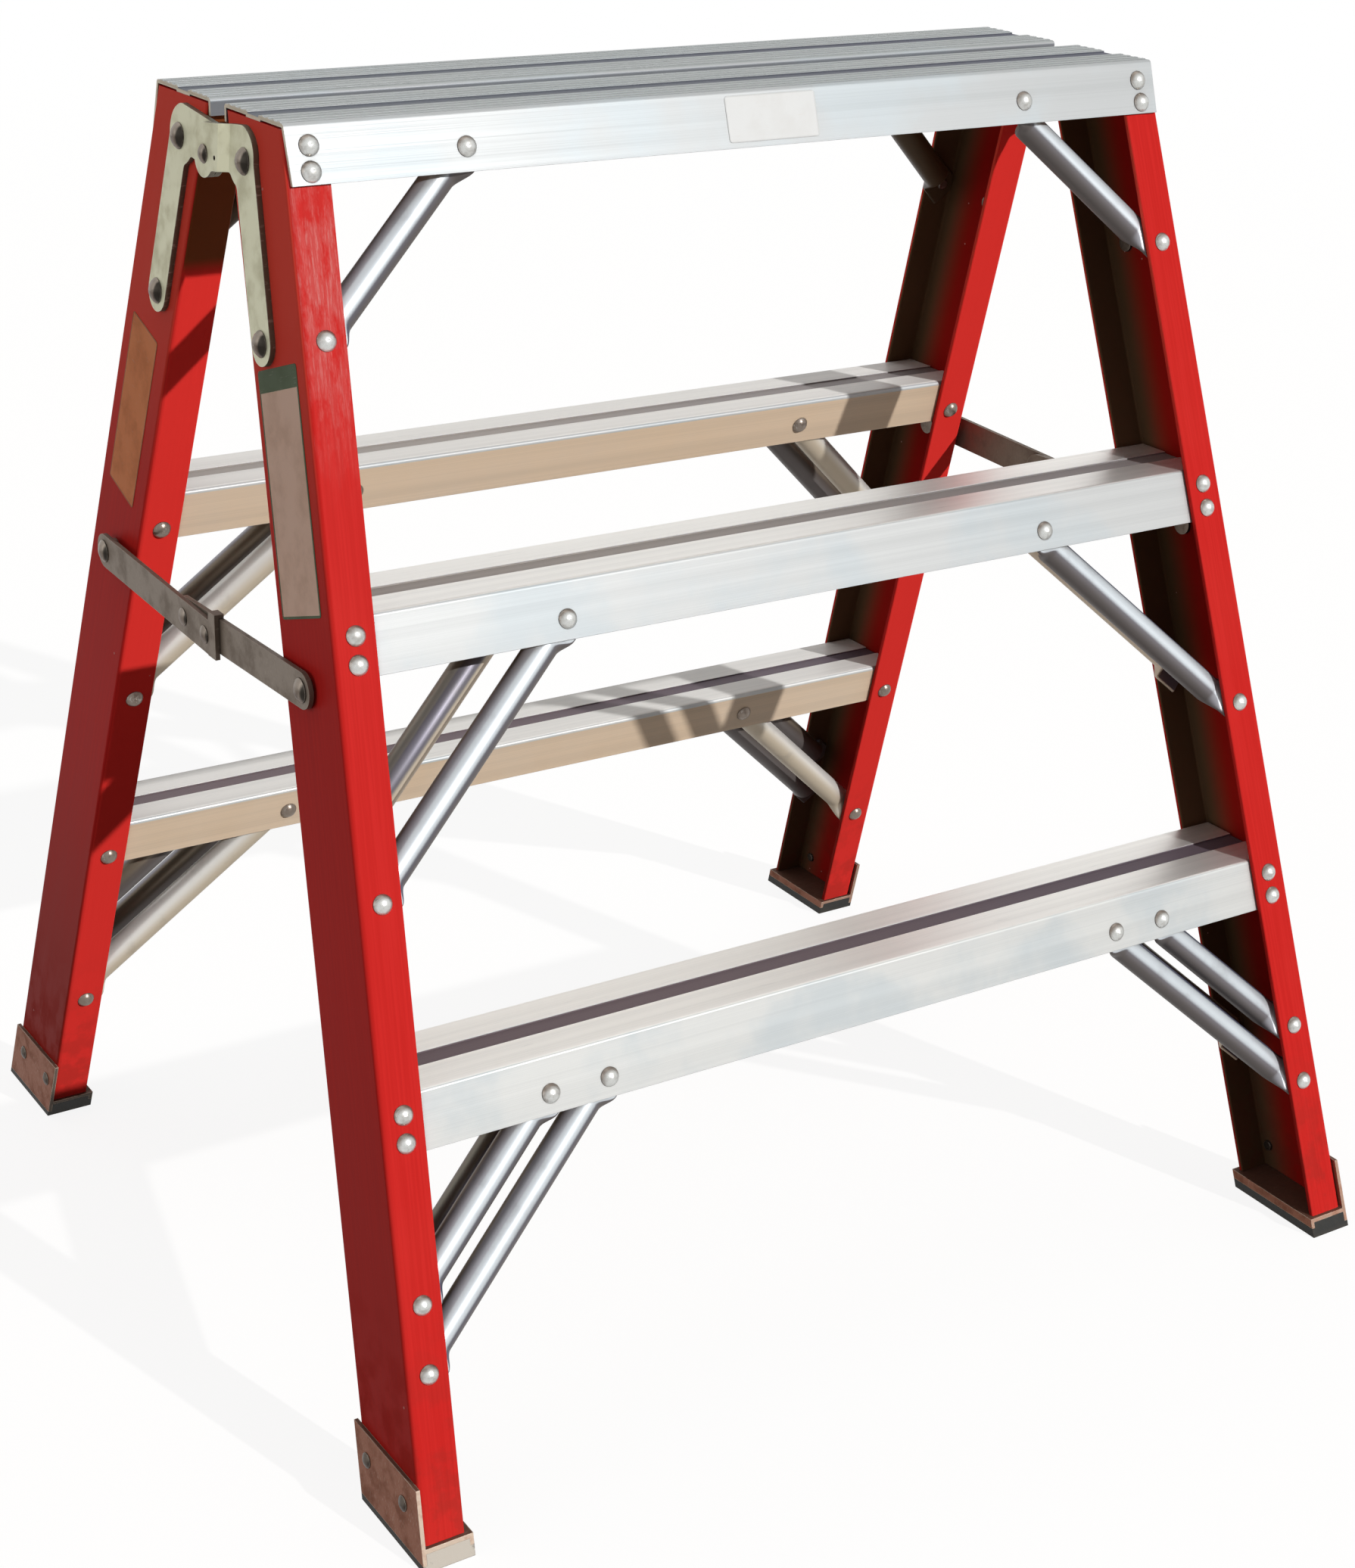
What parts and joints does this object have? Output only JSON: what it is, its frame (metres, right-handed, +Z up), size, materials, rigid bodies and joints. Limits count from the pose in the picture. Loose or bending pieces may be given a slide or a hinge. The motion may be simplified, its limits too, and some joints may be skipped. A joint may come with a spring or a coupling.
{
  "type": "work platform",
  "caption": "Folding trestle work platform with leaning red channel stiles, grooved aluminium deck and treads, tubular braces, end hinges, folding stay bars and rubber-soled feet.",
  "frame": {"origin": "on the floor under the middle of the platform, with the frames folded out", "axes": "+X along the platform to the right end, -Y towards the front frame's feet, +Z up"},
  "size_m": [0.8534, 0.791, 0.9],
  "materials": {
    "red_fibreglass": "glossy pultruded fibreglass with a faint weave",
    "deck_aluminium": "bright mill finish with fine lengthwise lines",
    "tread_aluminium": "bright mill finish with fine lengthwise lines",
    "tube_aluminium": "polished drawn tube",
    "rivet_aluminium": "smooth domed rivets",
    "hinge_steel": "pale yellowish zinc plating",
    "stay_steel": "dull zinc plating",
    "shoe_steel": "dull weathered plating",
    "steel_fastener": "dull plating",
    "sole_rubber": "matt black rubber"
  },
  "bodies": {
    "front_frame": {"front_deck": "deck_aluminium", "front_middle_tread": "tread_aluminium", "front_lower_tread": "tread_aluminium", "front_left_stile": "red_fibreglass", "front_left_shoe": "shoe_steel", "front_left_sole": "sole_rubber", "front_left_top_brace": "tube_aluminium", "front_left_middle_outer_brace": "tube_aluminium", "front_left_middle_inner_brace": "tube_aluminium", "front_left_lower_long_brace": "tube_aluminium", "front_left_lower_short_brace": "tube_aluminium", "front_left_lower_inner_brace": "tube_aluminium", "front_left_hinge_plate": "hinge_steel", "front_right_stile": "red_fibreglass", "front_right_shoe": "shoe_steel", "front_right_sole": "sole_rubber", "front_right_top_brace": "tube_aluminium", "front_right_middle_outer_brace": "tube_aluminium", "front_right_middle_inner_brace": "tube_aluminium", "front_right_lower_long_brace": "tube_aluminium", "front_right_lower_short_brace": "tube_aluminium", "front_right_lower_inner_brace": "tube_aluminium", "front_right_hinge_plate": "hinge_steel", "front_frame_rivets": "rivet_aluminium", "front_web_fasteners": "steel_fastener", "hinge_pins": "steel_fastener"},
    "back_frame": {"back_deck": "deck_aluminium", "back_middle_tread": "tread_aluminium", "back_lower_tread": "tread_aluminium", "back_left_stile": "red_fibreglass", "back_left_shoe": "shoe_steel", "back_left_sole": "sole_rubber", "back_left_top_brace": "tube_aluminium", "back_left_middle_outer_brace": "tube_aluminium", "back_left_middle_inner_brace": "tube_aluminium", "back_left_lower_long_brace": "tube_aluminium", "back_left_lower_short_brace": "tube_aluminium", "back_left_lower_inner_brace": "tube_aluminium", "back_left_hinge_plate": "hinge_steel", "back_right_stile": "red_fibreglass", "back_right_shoe": "shoe_steel", "back_right_sole": "sole_rubber", "back_right_top_brace": "tube_aluminium", "back_right_middle_outer_brace": "tube_aluminium", "back_right_middle_inner_brace": "tube_aluminium", "back_right_lower_long_brace": "tube_aluminium", "back_right_lower_short_brace": "tube_aluminium", "back_right_lower_inner_brace": "tube_aluminium", "back_right_hinge_plate": "hinge_steel", "back_frame_rivets": "rivet_aluminium", "back_web_fasteners": "steel_fastener"},
    "left_front_spreader": {"left_front_spreader_bar": "stay_steel", "left_front_spreader_rivet": "steel_fastener"},
    "left_back_spreader": {"left_back_spreader_bar": "stay_steel", "left_back_spreader_rivets": "steel_fastener"},
    "right_front_spreader": {"right_front_spreader_bar": "stay_steel", "right_front_spreader_rivet": "steel_fastener"},
    "right_back_spreader": {"right_back_spreader_bar": "stay_steel", "right_back_spreader_rivets": "steel_fastener"}
  },
  "joints": [
    {"name": "frame_fold", "type": "hinge", "parent": "front_frame", "child": "back_frame", "pos_m": [0, 0, 0.866], "axis": [-1, 0, 0], "range_deg": [0, 36.1]},
    {"name": "left_front_stay_turn", "type": "hinge", "parent": "front_frame", "child": "left_front_spreader", "pos_m": [-0.39, -0.16775, 0.5455], "axis": [1, 0, 0], "range_deg": [0, 36.78]},
    {"name": "left_back_stay_turn", "type": "hinge", "parent": "back_frame", "child": "left_back_spreader", "pos_m": [-0.3938, 0.16775, 0.5455], "axis": [-1, 0, 0], "range_deg": [0, 71.16]},
    {"name": "right_front_stay_turn", "type": "hinge", "parent": "front_frame", "child": "right_front_spreader", "pos_m": [0.39, -0.16775, 0.5455], "axis": [1, 0, 0], "range_deg": [0, 36.78]},
    {"name": "right_back_stay_turn", "type": "hinge", "parent": "back_frame", "child": "right_back_spreader", "pos_m": [0.3938, 0.16775, 0.5455], "axis": [-1, 0, 0], "range_deg": [0, 71.16]}
  ],
  "couplings": [
    {"joint": "left_front_stay_turn", "follows": "frame_fold", "ratio": 1.0188},
    {"joint": "left_back_stay_turn", "follows": "frame_fold", "ratio": 1.9709},
    {"joint": "right_front_stay_turn", "follows": "frame_fold", "ratio": 1.0188},
    {"joint": "right_back_stay_turn", "follows": "frame_fold", "ratio": 1.9709}
  ]
}
